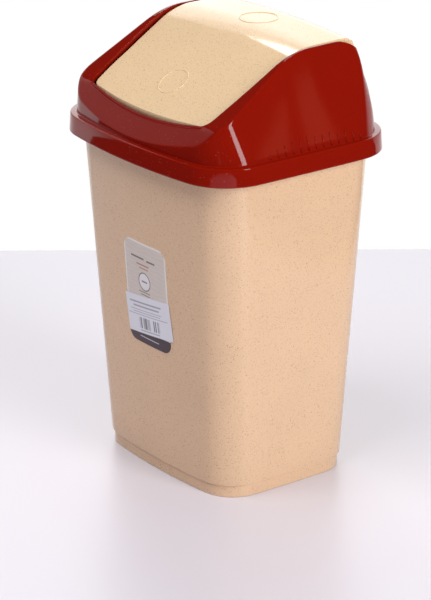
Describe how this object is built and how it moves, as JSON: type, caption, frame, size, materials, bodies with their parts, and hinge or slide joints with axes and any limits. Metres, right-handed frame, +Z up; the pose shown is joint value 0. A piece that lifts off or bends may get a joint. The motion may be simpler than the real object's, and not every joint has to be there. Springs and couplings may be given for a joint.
{
  "type": "swing-lid bin",
  "caption": "Small tapered kitchen bin with a lift-off domed cover and a free-swinging curved flap that opens when it is pushed.",
  "frame": {"origin": "centre of the footprint, on the surface that the bin stands on", "axes": "+Z up; -Y the labelled front, where the flap is pushed; +X to the right of someone facing the back"},
  "size_m": [0.204, 0.1776, 0.3306],
  "materials": {
    "bin_plastic": "speckled semi-gloss beige",
    "cover_plastic": "glossy brick red",
    "flap_plastic": "speckled semi-gloss beige",
    "label_paper": "printed film, satin",
    "sticker_paper": "white coated paper"
  },
  "bodies": {
    "bin": {"bin_body": "bin_plastic", "product_label": "label_paper", "barcode_sticker": "sticker_paper"},
    "cover": {"lid_cover": "cover_plastic"},
    "flap": {"swing_flap": "flap_plastic"}
  },
  "joints": [
    {"name": "cover_lift", "type": "slide", "parent": "bin", "child": "cover", "axis": [0, 0, 1], "range_m": [0, 0.12]},
    {"name": "flap_swing", "type": "hinge", "parent": "cover", "child": "flap", "pos_m": [0, 0.0098, 0.3143], "axis": [1, 0, 0], "range_deg": [0, 75]}
  ]
}
